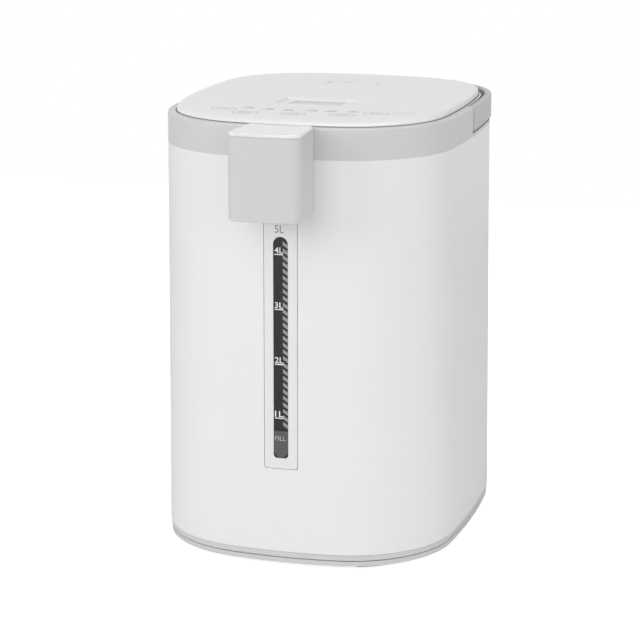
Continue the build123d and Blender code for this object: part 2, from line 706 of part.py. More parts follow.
with BuildPart() as lid_cover:
    add(crown_form(lid_z))
    slab(-half_width, half_width, -half_depth, lid_front, lid_z - 1, top_z + 1, Mode.SUBTRACT)
    add(lid_room.part, mode=Mode.SUBTRACT)
    with BuildSketch(flank(-dish_half)) as dish:
        with BuildLine():
            Polyline((dish_front, top_z + 1), (dish_front, top_z - dish_low[0]), (dish_rear, top_z - dish_low[1]),
                     (dish_rear, top_z + 1), close=True)
        make_face()
    extrude(to_extrude=dish.sketch, amount=2 * dish_half, mode=Mode.SUBTRACT)
    slab(-pit_half, pit_half, dish_front, pit_rear, pit_floor, top_z, Mode.SUBTRACT)
    slab(-4.6, 4.6, dish_front + 0.2, dish_front + 7, pit_floor - 3, pit_floor + 1, Mode.SUBTRACT)
    slab(*vent, top_z - shell - 1, top_z + 1, Mode.SUBTRACT)
    slab(-9, 9, lid_front - 1, lid_front + shell + 1, latch_z - 0.8, latch_z + 4.2, Mode.SUBTRACT)
    rod(across(-pit_half - 1.7, lever_y, lever_z), lever_bore, 2 * pit_half + 3.4, Mode.SUBTRACT)
    slab(-bay_x, bay_x, hinge_y - 4.4, hinge_y + 12, lid_z - 1, hinge_z + 4.4, Mode.SUBTRACT)
    lug_room(lid_z - 1, hinge_z + lug_r + 0.8)
save(lid_cover, "lid_cover")

liner_t = 2.4
latch_half = 8.0
latch_back = lever_y + 9
with BuildPart() as lid_liner:
    extrude(to_extrude=lid_plan(lid_z - liner_t, 0.4), amount=liner_t - 0.1)
    slab(-half_width, half_width, -half_depth, lid_front + 0.4, lid_z - 5, lid_z + 1, Mode.SUBTRACT)
    rod(tank_plane(plug_z), plug_r, lid_z - plug_z - 0.1)
    fillet(lid_liner.edges().group_by(Axis.Z)[0], 2.5)
    rod(tank_plane(plug_z + 1.4), plug_r - 1.6, 40, Mode.SUBTRACT)
    slab(-latch_half, latch_half, lid_front + 5, latch_back, lid_z - liner_t, latch_z - 0.3)
    slab(duct[0] - 1.6, duct[1] + 1.6, duct[2] - 1.6, duct[3] + 1.6, plug_z + 0.4, plug_z + 3)
    slab(*duct, plug_z - 1, plug_z + 4, Mode.SUBTRACT)
    rod(across(-20, hinge_y, hinge_z), 3.8, 40)
    slab(-20, 20, hinge_y - 3.8, hinge_y, lid_z - 1, hinge_z)
    rod(across(-21, hinge_y, hinge_z), hinge_r + fit, 42, Mode.SUBTRACT)
    lug_room(lid_z - 5, lid_z + 1)
save(lid_liner, "lid_liner")

with BuildPart() as lid_seal:
    low = deck_z + 1.3
    high = lid_z - liner_t - 0.05
    extrude(to_extrude=ring(tank_plane(low + 1), mouth_r + 2, plug_r + 0.05), amount=high - low - 1)
    extrude(to_extrude=ring(tank_plane(low), mouth_r + 2, mouth_r - 1), amount=1)
save(lid_seal, "lid_seal")

with BuildPart() as lid_insulation:
    rod(tank_plane(plug_z + 1.6), plug_r - 2.2, lid_z - plug_z - 4)
    slab(duct[0] - 3, duct[1] + 3, duct[2] - 3, duct[3] + 3, plug_z, lid_z, Mode.SUBTRACT)
save(lid_insulation, "lid_insulation")

duct_y = (duct[2] + duct[3]) / 2
steam_hole = 3.0
with BuildPart() as steam_duct:
    slab(*duct, plug_z + 0.2, top_z - shell - 1.6)
    slab(duct[0] + 1.4, duct[1] - 1.4, duct[2] + 1.4, duct[3] - 1.4, plug_z + 1.6, top_z, Mode.SUBTRACT)
    rod(Plane(spot(0, duct_y, plug_z)), steam_hole, 3, Mode.SUBTRACT)
save(steam_duct, "steam_duct")

steam_ball_r = 4.6
with BuildPart() as steam_ball:
    with Locations(spot(0, duct_y, plug_z + 1.6 + sqrt(steam_ball_r**2 - steam_hole**2) + 0.1)):
        Sphere(steam_ball_r)
save(steam_ball, "steam_ball")

cap_slit = 0.8            # steam slit behind the cap
cap_port = (2.8, 5.0)     # and the openings at its rear corners
with BuildPart() as steam_cap:
    left, right, front, rear = vent
    slab(left + 0.2, right - 0.2, front + 0.2, rear - cap_slit, top_z - shell - 0.9, top_z - 0.1)
    fillet(steam_cap.edges().filter_by(Axis.Z), 1.2)
    for x0, x1 in ((left, left + cap_port[0]), (right - cap_port[0], right)):
        slab(x0, x1, rear - cap_port[1], rear, top_z - 4, top_z, Mode.SUBTRACT)
save(steam_cap, "steam_cap")

lever_half = 19.0
lever_back = 23.5
lever_front = 1.4         # lever in front of its pin
lever_up = 2.8            # ridge above the pin
ridge_back = 2.6
plate_up = (2.5, 1.3)     # top of its plate above the pin, in front and at the rear
tail_half = 3.0
tail_z = latch_z + 2.5
with BuildPart() as lid_lever:
    with BuildSketch(across(-lever_half, lever_y, lever_z)) as side_view:
        with BuildLine():
            Polyline((-lever_front, 0), (-lever_front, 0.6), (lever_up - lever_front - 0.6, lever_up),
                     (ridge_back, lever_up), (ridge_back + 0.6, plate_up[0]), (lever_back, plate_up[1]),
                     (lever_back, -0.4), (0, -0.4), close=True)
        make_face()
    extrude(to_extrude=side_view.sketch, amount=2 * lever_half)
    rod(across(-lever_half, lever_y, lever_z), 1.6, 2 * lever_half)
    slab(-tail_half, tail_half, lever_y - lever_front, lever_y + lever_front, tail_z, lever_z)
    rod(across(-lever_half - 1, lever_y, lever_z), lever_bore + fit, 2 * lever_half + 2, Mode.SUBTRACT)
save(lid_lever, "lid_lever")

with BuildPart() as lever_pin:
    rod(across(-pit_half - 1.6, lever_y, lever_z), lever_bore, 2 * pit_half + 3.2)
save(lever_pin, "lever_pin")

catch_y = lever_y + 2.4   # face that the lever's tail draws back
with BuildPart() as lid_latch:
    slab(-latch_half, latch_half, lid_front + 0.2, latch_back, latch_z, latch_z + 2)
    slab(-latch_half, latch_half, lid_front + 0.2, lid_front + 3, latch_z, latch_z + 3.2)
    slab(-6, 6, catch_y, catch_y + 2.4, latch_z + 1, latch_z + 4.8)
save(lid_latch, "lid_latch")

with BuildPart() as lid_pin:
    rod(across(-lug_x - lug_w / 2, hinge_y, hinge_z), hinge_r, 2 * lug_x + lug_w)
save(lid_pin, "lid_pin")

with BuildPart() as lid_springs:
    for side in (-1, 1):
        with Locations(*[spot(side * (22 + 1.3 * turn), hinge_y, hinge_z) for turn in range(8)]):
            Torus(2.9, 0.6, rotation=(0, 90, 0))
save(lid_springs, "lid_springs")

# ---- tank, its heaters and what holds it ----
flange_z = deck_z + 0.2
flange_r = mouth_r + flange_out
outside = tank_bore + sheet
tank_under = tank_floor - sheet
with BuildPart() as inner_tank:
    with BuildSketch(Plane(spot(0, tank_y), x_dir=(1, 0, 0), z_dir=(0, -1, 0))) as half:
        with BuildLine():
            Polyline((0, tank_under), (outside, tank_under), (outside, neck_z), (mouth_r + sheet, shoulder_z),
                     (mouth_r + sheet, flange_z), (flange_r, flange_z), (flange_r, flange_z + sheet),
                     (mouth_r, flange_z + sheet), (mouth_r, shoulder_z - 0.3), (tank_bore, neck_z - 0.3),
                     (tank_bore, tank_floor), (0, tank_floor), close=True)
        make_face()
    revolve(axis=Axis(spot(0, tank_y), (0, 0, 1)))
    fillet(inner_tank.edges().group_by(Axis.Z)[0], 6)
    rod(Plane(spot(0, pump_y, nipple_low)), inlet_r, tank_floor - nipple_low)
    rod(Plane(spot(0, pump_y, nipple_low - 1)), inlet_r - 1.2, tank_floor - nipple_low + 3, Mode.SUBTRACT)
save(inner_tank, "inner_tank")

retainer_r = rod_place * sqrt(2) + 4
with BuildPart() as tank_retainer:
    extrude(to_extrude=ring(tank_plane(collar_z - 2.2), retainer_r, mouth_r + sheet + 1.4), amount=2)
    extrude(to_extrude=plan(collar_z - 3, -wall - 2.6), amount=4, mode=Mode.INTERSECT)
    with Locations(tank_plane(collar_z - 4)):
        with GridLocations(2 * rod_place, 2 * rod_place, 2, 2):
            Cylinder(rod_r + fit, 8, mode=Mode.SUBTRACT)
save(tank_retainer, "tank_retainer")

with BuildPart() as tie_rods:
    with Locations(tank_plane(tray_z + tray_floor + 0.2)):
        with GridLocations(2 * rod_place, 2 * rod_place, 2, 2):
            rod_h = collar_z - tray_z - tray_floor - 0.4
            Cylinder(rod_r, rod_h, align=foot)
save(tie_rods, "tie_rods")

band_z = tank_floor + 12
band_top = band_z + 40
with BuildPart() as band_heater:
    extrude(to_extrude=ring(tank_plane(band_z), outside + 3, outside + 0.1), amount=band_top - band_z)
    slab(-7, 7, tank_y + outside, tank_y + outside + 9, band_z + 4, band_top - 4)
    slab(-1, 1, tank_y + outside, tank_y + outside + 10, band_z - 1, band_top + 1, Mode.SUBTRACT)
    for z in (band_z + 10, band_top - 10):
        rod(across(-7.5, tank_y + outside + 6, z), 1.5, 15, Mode.SUBTRACT)
save(band_heater, "band_heater")

with BuildPart() as band_bolts:
    for z in (band_z + 10, band_top - 10):
        rod(across(-10, tank_y + outside + 6, z), 1.45, 20)
        rod(across(-9.8, tank_y + outside + 6, z), 2.8, 2.6)
        rod(across(7.2, tank_y + outside + 6, z), 2.8, 2.4)
save(band_bolts, "band_bolts")

heater_r = 56.0
with BuildPart() as base_heater:
    extrude(to_extrude=ring(tank_plane(tank_floor - sheet - 3.1), heater_r, 12), amount=3)
    extrude(to_extrude=ring(tank_plane(tank_floor - sheet - 7), heater_r - 8, heater_r - 15), amount=4.2)
save(base_heater, "base_heater")

with BuildPart() as tank_sleeve:
    felt = ring(tank_plane(band_top + 4), outside + 4, outside + 0.4)
    extrude(to_extrude=felt, amount=neck_z - band_top - 8)
save(tank_sleeve, "tank_sleeve")

with BuildPart() as thermistor:
    rod(tank_plane(tank_floor - sheet - 9.1), 6, 9)
    rod(tank_plane(tank_floor - sheet - 14), 3, 6)
save(thermistor, "thermistor")

with BuildPart() as thermal_fuse:
    fuse = Plane(spot(26, tank_y, tank_under - 11.1))
    slab(16, 36, tank_y - 5, tank_y + 5, tank_under - 5.2, tank_under - 3.2)
    rod(fuse, 4.5, 6.2)
save(thermal_fuse, "thermal_fuse")

# ---- electrics ----
with BuildPart() as power_board:
    slab(-board_x, board_x, *board_y, board_z + 0.1, board_z + 1.7)
    slab(-40, -22, 52, 76, board_z + 1.6, board_z + 18)
    slab(18, 24, 50, 84, board_z + 1.6, board_z + 24)
    for x, y, r, h in ((-10, 60, 6, 18), (4, 60, 5, 14), (4, 76, 5, 14), (-10, 80, 4, 12)):
        rod(Plane(spot(x, y, board_z + 1.6)), r, h)
    slab(34, 46, 54, 70, board_z + 1.6, board_z + 12)
    slab(-40, -22, 82, 92, board_z + 1.6, board_z + 11)
    with Locations(spot(0, sum(board_y) / 2, board_z)):
        with GridLocations(2 * board_x - 12, board_y[1] - board_y[0] - 10, 2, 2):
            Cylinder(1.25, 8, mode=Mode.SUBTRACT)
save(power_board, "power_board")

inlet_mid = sum(inlet_z) / 2
inlet_face = rear_reach - 1.0
with BuildPart() as power_inlet:
    low, high = inlet_z
    slab(-inlet_half + 0.2, inlet_half - 0.2, half_depth - 22, inlet_face, low + 0.2, high - 0.2)
    fillet(power_inlet.edges().filter_by(Axis.Y), 3)
    socket = inlet_half - 3.4
    slab(-socket, socket, inlet_face - 9, inlet_face + 1, low + 3.4, high - 3.4, Mode.SUBTRACT)
    slab(-inlet_half - 4, inlet_half + 4, half_depth - 19, half_depth - 16, low + 2, high + 4)
    for x in (-10, 10):
        rod(ahead(x, inlet_face - 4, inlet_mid), 1.6, 30, Mode.SUBTRACT)
save(power_inlet, "power_inlet")

with BuildPart() as inlet_pins:
    for x in (-10, 10):
        rod(ahead(x, inlet_face - 4, inlet_mid), 1.55, 26)
save(inlet_pins, "inlet_pins")

with BuildPart() as inlet_magnets:
    for x in (-4, 4):
        slab(x - 2.6, x + 2.6, inlet_face - 9, inlet_face - 7, inlet_mid - 5, inlet_mid + 5)
save(inlet_magnets, "inlet_magnets")

control_z = top_z - 13.0
with BuildPart() as control_board:
    slab(-72, 72, -101, -78, control_z, control_z + 1.6)
    for x in cover_boss:
        rod(Plane(spot(x, boss_y, control_z - 1)), 3.8, 4, Mode.SUBTRACT)
    slab(-20, 6, -86, -79, control_z - 4, control_z + 0.1)
    slab(30, 46, -92, -84, control_z - 5, control_z + 0.1)
save(control_board, "control_board")

with BuildPart() as touch_springs:
    for x in (-48, -32, -16, 16, 32, 48):
        spring = ring(Plane(spot(x, -92, control_z + 1.7)), 3.6, 2.6)
        extrude(to_extrude=spring, amount=top_z - shell - control_z - 2.0)
save(touch_springs, "touch_springs")

with BuildPart() as base_screws:
    with Locations(deck(tray_z - 1.4)):
        with GridLocations(*screw_grid, 2, 2):
            Cylinder(screw_head, 1.4, align=(Align.CENTER, Align.CENTER, Align.MAX))
            Cylinder(screw_r, 1.4 + tray_floor + 4, align=foot)
save(base_screws, "base_screws")

with BuildPart() as board_screws:
    with Locations(spot(0, sum(board_y) / 2, board_z + 1.8)):
        with GridLocations(2 * board_x - 12, board_y[1] - board_y[0] - 10, 2, 2):
            Cylinder(2.6, 1.8, align=foot)
            Cylinder(1.2, 10, align=(Align.CENTER, Align.CENTER, Align.MAX))
save(board_screws, "board_screws")
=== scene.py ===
import json
import math

import bmesh
import bpy
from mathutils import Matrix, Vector
from mathutils.bvhtree import BVHTree


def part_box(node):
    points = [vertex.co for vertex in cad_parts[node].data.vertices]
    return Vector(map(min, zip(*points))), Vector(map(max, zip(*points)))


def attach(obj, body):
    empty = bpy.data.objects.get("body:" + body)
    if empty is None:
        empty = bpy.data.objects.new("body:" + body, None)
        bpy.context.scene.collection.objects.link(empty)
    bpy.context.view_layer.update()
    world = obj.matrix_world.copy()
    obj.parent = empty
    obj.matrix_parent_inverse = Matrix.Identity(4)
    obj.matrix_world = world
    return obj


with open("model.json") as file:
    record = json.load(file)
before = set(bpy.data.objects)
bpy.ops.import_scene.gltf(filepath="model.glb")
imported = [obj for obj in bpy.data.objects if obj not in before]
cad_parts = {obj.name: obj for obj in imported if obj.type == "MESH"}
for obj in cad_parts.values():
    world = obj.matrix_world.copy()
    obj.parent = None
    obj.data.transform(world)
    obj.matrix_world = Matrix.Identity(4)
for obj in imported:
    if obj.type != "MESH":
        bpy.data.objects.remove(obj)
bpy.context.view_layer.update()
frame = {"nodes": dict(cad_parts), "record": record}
nodes = frame["nodes"]
millimetre = 0.001
casingLow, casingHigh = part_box("outer_casing")
bodyY = (casingLow.y + casingHigh.y) / 2        # the body's centre, a little behind the whole pot's
print("frame loaded:", len(nodes), "nodes")


# camera: a long lens, a little above the lid and to the right of the spout
view = {
    "place": (0.482481, -1.647069, 0.586676),
    "pitch": 76.553,         # degrees, where 90 looks level
    "turn": 16.109,          # degrees to the left of straight ahead
    "lens": 130.87,          # millimetres on a 36 mm film
    "shift": (-0.0222, -0.0334),
}
cameraData = bpy.data.cameras.new("camera")
cameraData.lens = view["lens"]
cameraData.sensor_width = 36
cameraData.shift_x, cameraData.shift_y = view["shift"]
camera = bpy.data.objects.new("camera", cameraData)
camera.location = view["place"]
camera.rotation_euler = (math.radians(view["pitch"]), 0, math.radians(view["turn"]))
bpy.context.scene.collection.objects.link(camera)
bpy.context.scene.camera = camera
print("camera placed")


# shader maths: sockets that add, multiply and compare like numbers
class Signal:
    def __init__(self, finish, socket):
        self.finish = finish
        self.socket = socket

    def maths(self, operation, first, second):
        return self.finish.node("Math", {"operation": operation}, {0: first, 1: second})

    def __add__(self, other):
        return self.maths("ADD", self, other)

    def __radd__(self, other):
        return self.maths("ADD", other, self)

    def __sub__(self, other):
        return self.maths("SUBTRACT", self, other)

    def __rsub__(self, other):
        return self.maths("SUBTRACT", other, self)

    def __mul__(self, other):
        return self.maths("MULTIPLY", self, other)

    def __rmul__(self, other):
        return self.maths("MULTIPLY", other, self)

    def __gt__(self, other):
        return self.maths("GREATER_THAN", self, other)


class Finish:
    def __init__(self, name):
        self.material = bpy.data.materials.new(name)
        self.material.use_nodes = True
        self.tree = self.material.node_tree
        self.tree.nodes.clear()
        self.output = self.tree.nodes.new("ShaderNodeOutputMaterial")

    def node(self, kind, settings=None, inputs=None, output=0):
        made = self.tree.nodes.new("ShaderNode" + kind)
        for key, value in (settings or {}).items():
            setattr(made, key, value)
        for key, value in (inputs or {}).items():
            if isinstance(value, Signal):
                self.tree.links.new(value.socket, made.inputs[key])
            else:
                made.inputs[key].default_value = value
        return Signal(self, made.outputs[output])

    def place(self, stretch=(1, 1, 1)):
        spots = self.node("TexCoord", output="Object")
        return self.node("Mapping", inputs={"Vector": spots, "Scale": stretch})

    def along(self, axis):
        # the place on one axis, where 0 is x, 1 is y and 2 is z
        return self.node("SeparateXYZ", inputs={0: self.node("TexCoord", output="Object")}, output=axis)

    def noise(self, scale, detail=2.0, stretch=(1, 1, 1)):
        spots = self.place(stretch)
        return self.node("TexNoise", inputs={"Vector": spots, "Scale": scale, "Detail": detail})

    def mix(self, share, first, second):
        return self.node("Mix", {"data_type": "RGBA"}, {0: share, 6: first, 7: second}, output=2)

    def bump(self, height, depth):
        return self.node("Bump", inputs={"Height": height, "Distance": depth, "Strength": 1.0})

    def surface(self, **sockets):
        named = {key.replace("_", " "): value for key, value in sockets.items()}
        skin = self.node("BsdfPrincipled", inputs=named)
        self.tree.links.new(skin.socket, self.output.inputs["Surface"])
        return self.material


def grey(level, warm=0.0):
    linear = (level / 255) ** 2.2
    return (linear * (1 + warm), linear, linear * (1 - warm), 1.0)


def shade(colour, factor):
    return tuple(part * factor for part in colour[:3]) + (1.0,)


# finishes, one for each kind of surface
plastic = {
    "cloud": 22.0,                       # how close the clouds lie
    "dark": 0.985,                       # colour between the clouds
    "light": 1.012,                      # colour in the clouds
    "uneven": 0.08,                      # what the clouds change in the roughness
    "grain": 0.5 * millimetre,           # size of the fine grain on the lid and its lever
}


def clouded(finish, cloud, colour):
    return finish.mix(cloud, shade(colour, plastic["dark"]), shade(colour, plastic["light"]))


def moulded(name, colour, roughness, grain=0.00045, depth=0.000012, coat=0.0):
    # pale moulded plastic: a fine even grain, and clouding that only shows in the gloss
    finish = Finish(name)
    cloud = finish.noise(plastic["cloud"], 3.0)
    pebble = finish.noise(1 / grain, 1.0)
    return finish.surface(
        Base_Color=clouded(finish, cloud, colour),
        Roughness=roughness + (cloud - 0.5) * plastic["uneven"],
        Coat_Weight=coat,
        Coat_Roughness=0.08,
        Normal=finish.bump(pebble, depth),
    )


lid = {
    "edgeDrop": 4.65 * millimetre,       # from the lid's top down to where it meets the collar's rim
    "edgeBand": 0.7 * millimetre,        # how far the painted shade reaches up from there
    "edgeBelow": 0.3 * millimetre,       # and how far down
    # painted shade: a dark grey in place of the shadow in the gap between the lid and the collar's rim
    "paintedGapShade": grey(128),
}


def lidShell(name, colour, roughness):
    # as moulded, with the narrow parting edge at its foot darkened by painted shade, in place of the shadow
    # in the gap above the collar's rim
    finish = Finish(name)
    cloud = finish.noise(plastic["cloud"], 3.0)
    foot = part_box("lid_cover")[1].z - lid["edgeDrop"]
    height = finish.along(2)
    above = height > foot + lid["edgeBand"]
    # the band of painted shade, from just below the foot to a little above it
    paintedShadeBand = (height > foot - lid["edgeBelow"]) * (1 - above)
    return finish.surface(
        Base_Color=finish.mix(paintedShadeBand, clouded(finish, cloud, colour), lid["paintedGapShade"]),
        Roughness=roughness + (cloud - 0.5) * plastic["uneven"],
        Normal=finish.bump(finish.noise(1 / plastic["grain"], 1.0), 0.000014),
    )


lever = {
    "ridge": 4.6 * millimetre,           # from the lever's front back to where its plate begins
    "gloss": 0.36,                       # the ridge's roughness
    "plateRougher": 0.1,
}


def leverPlastic(name, ridge, shadedPlate):
    # the lever's polished ridge gets a painted highlight and the fine-grained plate behind it a painted
    # shade, so the ridge is brighter than the plate
    finish = Finish(name)
    cloud = finish.noise(30.0, 3.0)
    behind = finish.along(1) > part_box("lid_lever")[0].y + lever["ridge"]
    dark = finish.mix(behind, ridge, shade(shadedPlate, plastic["dark"]))
    light = finish.mix(behind, ridge, shadedPlate)
    return finish.surface(
        Base_Color=finish.mix(cloud, dark, light),
        Roughness=lever["gloss"] + behind * lever["plateRougher"],
        Normal=finish.bump(finish.noise(1 / plastic["grain"], 1.0), 0.000012),
    )


def brushed(name, colour, roughness, stretch, depth=0.000006):
    # rolled or drawn steel, with its lines along the short stretch
    finish = Finish(name)
    lines = finish.noise(260.0, 3.0, stretch)
    cloud = finish.noise(9.0, 2.0)
    return finish.surface(
        Base_Color=finish.mix(lines, shade(colour, 0.94), shade(colour, 1.04)),
        Metallic=1.0,
        Roughness=roughness + (lines - 0.5) * 0.1 + (cloud - 0.5) * 0.1,
        Normal=finish.bump(lines, depth),
    )


def softRubber(name, colour, roughness, clarity=0.0):
    finish = Finish(name)
    bloom = finish.noise(70.0, 3.0)
    return finish.surface(
        Base_Color=finish.mix(bloom, shade(colour, 0.9), shade(colour, 1.08)),
        Roughness=roughness + (bloom - 0.5) * 0.12,
        Subsurface_Weight=clarity,
        Subsurface_Radius=(0.004, 0.004, 0.003),
        Normal=finish.bump(finish.noise(1400.0, 1.0), 0.00001),
    )


def smokyPane(name):
    # tinted clear plastic: dark, glossy, and thin enough to show the tube behind it
    finish = Finish(name)
    haze = finish.noise(60.0, 2.0)
    return finish.surface(
        Base_Color=finish.mix(haze, grey(30), grey(38)),
        Roughness=0.1 + haze * 0.06,
        Alpha=0.78,
        Coat_Weight=0.4,
        Coat_Roughness=0.05,
    )


def clearTube(name):
    finish = Finish(name)
    film = finish.noise(90.0, 3.0, (1, 1, 0.2))
    return finish.surface(
        Base_Color=finish.mix(film, grey(226), grey(244)),
        Roughness=0.06 + film * 0.08,
        Alpha=0.32,
        Coat_Weight=0.5,
    )


def darkBacking(name):
    finish = Finish(name)
    grain = finish.noise(900.0, 2.0)
    return finish.surface(
        Base_Color=finish.mix(grain, grey(30), grey(42)),
        Roughness=0.5 + (grain - 0.5) * 0.2,
        Normal=finish.bump(grain, 0.00001),
    )


def mineralFelt(name):
    # pressed wool: short crossing fibres
    finish = Finish(name)
    long = finish.noise(420.0, 4.0, (1, 1, 0.25))
    cross = finish.noise(420.0, 4.0, (0.3, 1, 1))
    fibre = long * 0.5 + cross * 0.5
    return finish.surface(
        Base_Color=finish.mix(fibre, (0.5, 0.46, 0.38, 1), (0.85, 0.82, 0.74, 1)),
        Roughness=0.9,
        Sheen_Weight=0.3,
        Normal=finish.bump(fibre, 0.0004),
    )


def heaterJacket(name):
    # zinc-plated sheet over mica, dulled by heat in soft clouds
    finish = Finish(name)
    scorch = finish.noise(34.0, 5.0)
    return finish.surface(
        Base_Color=finish.mix(scorch, (0.26, 0.23, 0.19, 1), (0.58, 0.56, 0.52, 1)),
        Metallic=0.8,
        Roughness=0.42 + (scorch - 0.5) * 0.3,
        Normal=finish.bump(finish.noise(500.0, 2.0), 0.00002),
    )


def darkNylon(name, colour):
    # glass-filled nylon: fibres just show at the surface
    finish = Finish(name)
    fibre = finish.noise(700.0, 3.0, (1, 0.3, 1))
    return finish.surface(
        Base_Color=finish.mix(fibre, shade(colour, 0.8), shade(colour, 1.3)),
        Roughness=0.48 + (fibre - 0.5) * 0.2,
        Normal=finish.bump(fibre, 0.00002),
    )


def ferrite(name):
    finish = Finish(name)
    grain = finish.noise(1500.0, 2.0)
    return finish.surface(
        Base_Color=finish.mix(grain, grey(44), grey(74)),
        Metallic=0.35,
        Roughness=0.5 + grain * 0.2,
        Normal=finish.bump(grain, 0.00002),
    )


def circuitBoard(name):
    # green solder mask over faint copper tracks, which run one way on this side
    finish = Finish(name)
    waves = {"Vector": finish.place(), "Scale": 90.0, "Distortion": 3.0}
    tracks = finish.node("TexWave", {"bands_direction": "X"}, waves, output=1)
    raised = tracks > 0.62               # the share of the wave that carries copper
    return finish.surface(
        Base_Color=finish.mix(raised, (0.012, 0.11, 0.045, 1), (0.03, 0.2, 0.08, 1)),
        Roughness=0.3 - raised * 0.06,
        Coat_Weight=0.3,
        Normal=finish.bump(raised, 0.00003),
    )


def turnedBrass(name):
    finish = Finish(name)
    lines = finish.noise(300.0, 2.0, (6, 6, 1))
    return finish.surface(
        Base_Color=finish.mix(lines, (0.62, 0.44, 0.16, 1), (0.82, 0.63, 0.28, 1)),
        Metallic=1.0,
        Roughness=0.2 + lines * 0.14,
    )


def printInk(name, colour):
    # screen-printed ink: thin, flat, with a slightly broken film
    finish = Finish(name)
    film = finish.noise(1800.0, 2.0)
    return finish.surface(
        Base_Color=finish.mix(film, shade(colour, 0.93), shade(colour, 1.05)),
        Roughness=0.5 + (film - 0.5) * 0.2,
        Normal=finish.bump(film, 0.000004),
    )


steelAcross = (0.2, 0.2, 14.0)           # long level lines, closely spaced in height
steelAround = (1.0, 1.0, 9.0)            # shorter ones, as on turned parts
finishes = {                             # one for each material slot
    "casing_white": moulded("casingWhite", grey(233), 0.4),
    "collar_grey": moulded("collarGrey", grey(206), 0.44, 0.0005, 0.000015),
    "handle_grey": moulded("handleGrey", grey(186), 0.46, 0.0006, 0.00002),
    "feet_grey": moulded("feetGrey", grey(190), 0.55, 0.0007, 0.00003),
    "lid_white": lidShell("lidWhite", grey(233, 0.003), 0.42),
    "cap_gloss": moulded("capGloss", grey(227), 0.26, 0.0008, 0.000004, 0.35),
    "pad_rubber": softRubber("padRubber", grey(60), 0.75),
    "silicone": softRubber("milkySilicone", grey(222, 0.012), 0.38, 0.35),
    "window_clear": smokyPane("smokyWindow"),
    "tube_clear": clearTube("clearTube"),
    "gauge_dark": darkBacking("gaugeBacking"),
    "steel": brushed("brushedSteel", (0.78, 0.775, 0.76, 1), 0.3, steelAcross, 0.000003),
    "liner_plastic": moulded("linerGrey", grey(218), 0.38, 0.0006, 0.000012),
    "heater": heaterJacket("heaterJacket"),
    "felt": mineralFelt("pressedFelt"),
    "pump_plastic": darkNylon("pumpNylon", grey(92)),
    "motor_steel": brushed("motorCan", (0.42, 0.42, 0.43, 1), 0.36, steelAround),
    "magnet": ferrite("ferrite"),
    "board_green": circuitBoard("solderMask"),
    "brass": turnedBrass("contactBrass"),
    "socket_black": darkNylon("socketBlack", grey(52)),
    "screw_steel": brushed("screwZinc", (0.6, 0.6, 0.61, 1), 0.24, steelAround),
}
ownFinishes = {                          # nodes that differ a little from the rest of their slot
    # the lever's two colours: the ridge's painted highlight and the plate's painted shade
    "lid_lever": leverPlastic("leverWhite", grey(242, 0.003), grey(214, 0.003)),
    "gauge_strip": moulded("stripWhite", grey(228), 0.36),
}
for part in frame["record"]["subparts"]:
    finish = ownFinishes.get(part["node"], finishes[part["material_slot"]])
    for slot in nodes[part["node"]].material_slots:
        slot.material = finish
print("finishes:", len(finishes) + len(ownFinishes))


# flat shapes are drawn in u (right), v (up) and w (out), then laid on a node's surface
def treeOf(node):
    mesh = nodes[node].data
    return BVHTree.FromPolygons([v.co for v in mesh.vertices], [p.vertices for p in mesh.polygons])


def onFront(node):
    tree = treeOf(node)

    def place(u, v, w):
        hit = tree.ray_cast(Vector((u, -1, v)), Vector((0, 1, 0)))[0]
        return Vector((u, hit.y - w, v))
    return place


def onTop(node):
    tree = treeOf(node)

    def place(u, v, w):
        hit = tree.ray_cast(Vector((u, v, 1)), Vector((0, 0, -1)))[0]
        return Vector((u, v, hit.z + w))
    return place


def evaluatedMesh(source):
    graph = bpy.context.evaluated_depsgraph_get()
    return bpy.data.meshes.new_from_object(source.evaluated_get(graph), depsgraph=graph)


def letters(text, low, high, thick, weight=0.0):
    # the text fills the box from low to high exactly, and stands thick out of it
    curve = bpy.data.curves.new("letters", "FONT")
    curve.body = text
    curve.extrude = 0.5
    curve.offset = weight
    curve.resolution_u = 3
    source = bpy.data.objects.new("letters", curve)
    bpy.context.scene.collection.objects.link(source)
    mesh = evaluatedMesh(source)
    bpy.data.objects.remove(source)
    points = [v.co.copy() for v in mesh.vertices]
    left = min(p.x for p in points)
    right = max(p.x for p in points)
    foot = min(p.y for p in points)
    head = max(p.y for p in points)
    for vertex in mesh.vertices:
        vertex.co.x = low[0] + (vertex.co.x - left) / (right - left) * (high[0] - low[0])
        vertex.co.y = low[1] + (vertex.co.y - foot) / (head - foot) * (high[1] - low[1])
        vertex.co.z = (vertex.co.z + 0.5) * thick
    return mesh


def boxText(text, box, thick):
    # as letters, in a box of left, low, right and high in millimetres
    left, low, right, high = (value * millimetre for value in box)
    return letters(text, (left, low), (right, high), thick)


def patch(outline, thick):
    # a flat closed outline given a thickness
    form = bmesh.new()
    face = form.faces.new([form.verts.new((u, v, 0)) for u, v in outline])
    raised = bmesh.ops.extrude_face_region(form, geom=[face])["geom"]
    for corner in raised:
        if isinstance(corner, bmesh.types.BMVert):
            corner.co.z += thick
    bmesh.ops.recalc_face_normals(form, faces=form.faces)
    mesh = bpy.data.meshes.new("patch")
    form.to_mesh(mesh)
    form.free()
    return mesh


def bar(left, low, right, high, thick):
    return patch([(left, low), (right, low), (right, high), (left, high)], thick)


def roundFooted(half, foot, top, steps=16):
    # outline of an upright block whose foot is a half circle
    outline = [(half, top), (-half, top)]
    for step in range(steps + 1):
        angle = math.pi + math.pi * step / steps
        outline.append((half * math.cos(angle), foot + half + half * math.sin(angle)))
    return outline


